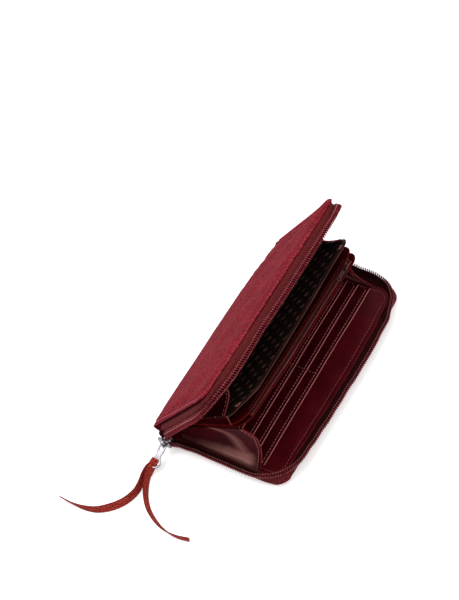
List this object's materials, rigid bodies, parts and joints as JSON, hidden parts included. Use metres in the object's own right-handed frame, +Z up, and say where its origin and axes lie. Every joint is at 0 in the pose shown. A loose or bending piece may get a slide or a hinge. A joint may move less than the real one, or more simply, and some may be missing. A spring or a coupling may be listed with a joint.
{
  "type": "long wallet",
  "caption": "Long zip-around wallet lying open, with card pockets, a zipped coin pocket, a slip pocket, side gussets and a ribbon pull on the slider.",
  "frame": {"origin": "centre of the back cover's flat outer face", "axes": "+X along the length, away from the slider; +Y towards the spine; +Z up, out of the back cover's inside"},
  "size_m": [0.2772, 0.1613, 0.1005],
  "materials": {
    "cover_fabric": "heathered woven canvas, raspberry",
    "stiffener_board": "grey-brown fibre board",
    "lining_leather": "glossy dark burgundy coated lining",
    "pocket_leather": "glossy dark burgundy, pale folded edges",
    "zip_tape": "matt woven tape, dusty burgundy",
    "zip_coil": "nylon coil, dark red",
    "gusset_leather": "glossy burgundy",
    "dotted_lining": "near-black brown with small dots",
    "coin_pocket_leather": "glossy red-brown",
    "coin_zip_tape": "woven tape, red-brown",
    "coin_zip_coil": "nylon coil, red-brown",
    "slip_piping": "folded brown edging",
    "polished_metal": "bright polished",
    "painted_metal": "dark red enamel, colour-matched to the zip",
    "ribbon_fabric": "woven ribbon, brick red"
  },
  "bodies": {
    "back_cover": {"back_outer_panel": "cover_fabric", "back_stiffener_board": "stiffener_board", "back_lining_panel": "lining_leather", "back_card_pocket_1": "pocket_leather", "back_card_pocket_2": "pocket_leather", "back_card_pocket_3": "pocket_leather", "back_card_pocket_4": "pocket_leather", "back_zip_tape": "zip_tape", "back_zip_coil": "zip_coil", "zip_bottom_stop": "polished_metal", "spine_lower_half": "cover_fabric", "near_back_gusset": "gusset_leather", "far_back_gusset": "gusset_leather"},
    "front_cover": {"front_outer_panel": "cover_fabric", "front_stiffener_board": "stiffener_board", "front_lining_panel": "lining_leather", "front_card_pocket_1": "pocket_leather", "front_card_pocket_2": "pocket_leather", "front_card_pocket_3": "pocket_leather", "front_card_pocket_4": "pocket_leather", "front_zip_tape": "zip_tape", "front_zip_coil": "zip_coil", "front_zip_tail": "zip_coil", "spine_upper_half": "cover_fabric", "near_front_gusset": "gusset_leather", "far_front_gusset": "gusset_leather"},
    "coin_pocket": {"coin_pocket_back_wall": "coin_pocket_leather", "coin_pocket_front_wall": "coin_pocket_leather", "coin_pocket_side_band": "coin_pocket_leather", "coin_zip_tape_back": "coin_zip_tape", "coin_zip_tape_front": "coin_zip_tape", "coin_zip_coil_back": "coin_zip_coil", "coin_zip_coil_front": "coin_zip_coil", "coin_zip_end_stops": "painted_metal", "near_slip_gusset": "dotted_lining", "far_slip_gusset": "dotted_lining"},
    "slip_panel": {"slip_pocket_panel": "dotted_lining", "slip_pocket_piping": "slip_piping", "slip_pocket_bartacks": "slip_piping"},
    "coin_slider": {"coin_zip_slider": "painted_metal"},
    "coin_pull": {"coin_zip_pull": "painted_metal"},
    "zip_slider": {"zip_slider_body": "polished_metal", "zip_slider_arch": "polished_metal"},
    "zip_pull": {"zip_pull_tab": "polished_metal", "ribbon_tail_left": "ribbon_fabric", "ribbon_tail_right": "ribbon_fabric"}
  },
  "joints": [
    {"name": "front_cover_swing", "type": "hinge", "parent": "back_cover", "child": "front_cover", "pos_m": [0, 0.0525, 0.011], "axis": [1, 0, 0], "range_deg": [-25, 50.7], "deforming": ["near_front_gusset", "far_front_gusset", "front_zip_tail"]},
    {"name": "coin_pocket_swing", "type": "hinge", "parent": "back_cover", "child": "coin_pocket", "pos_m": [0, 0.0525, 0.011], "axis": [1, 0, 0], "range_deg": [-15.6, 31.61], "deforming": ["near_back_gusset", "far_back_gusset"]},
    {"name": "slip_panel_swing", "type": "hinge", "parent": "coin_pocket", "child": "slip_panel", "pos_m": [0, 0.0525, 0.011], "axis": [1, 0, 0], "range_deg": [-2.83, 5.71], "deforming": ["near_slip_gusset", "far_slip_gusset"]},
    {"name": "zip_slider_travel", "type": "slide", "parent": "back_cover", "child": "zip_slider", "axis": [0, -1, 0], "range_m": [0, 0.062]},
    {"name": "zip_pull_swing", "type": "hinge", "parent": "zip_slider", "child": "zip_pull", "pos_m": [-0.1051, 0.04975, 0.011], "axis": [0, 1, 0], "range_deg": [0, 62]},
    {"name": "coin_slider_travel", "type": "slide", "parent": "coin_pocket", "child": "coin_slider", "axis": [-1, 0, 0], "range_m": [0, 0.134]},
    {"name": "coin_pull_swing", "type": "hinge", "parent": "coin_slider", "child": "coin_pull", "pos_m": [0.06695, -0.02474, 0.05711], "axis": [0, 0.524, 0.8517], "range_deg": [0, 110]}
  ],
  "couplings": [
    {"joint": "coin_pocket_swing", "follows": "front_cover_swing", "ratio": 0.62327},
    {"joint": "slip_panel_swing", "follows": "front_cover_swing", "ratio": 0.11243}
  ]
}
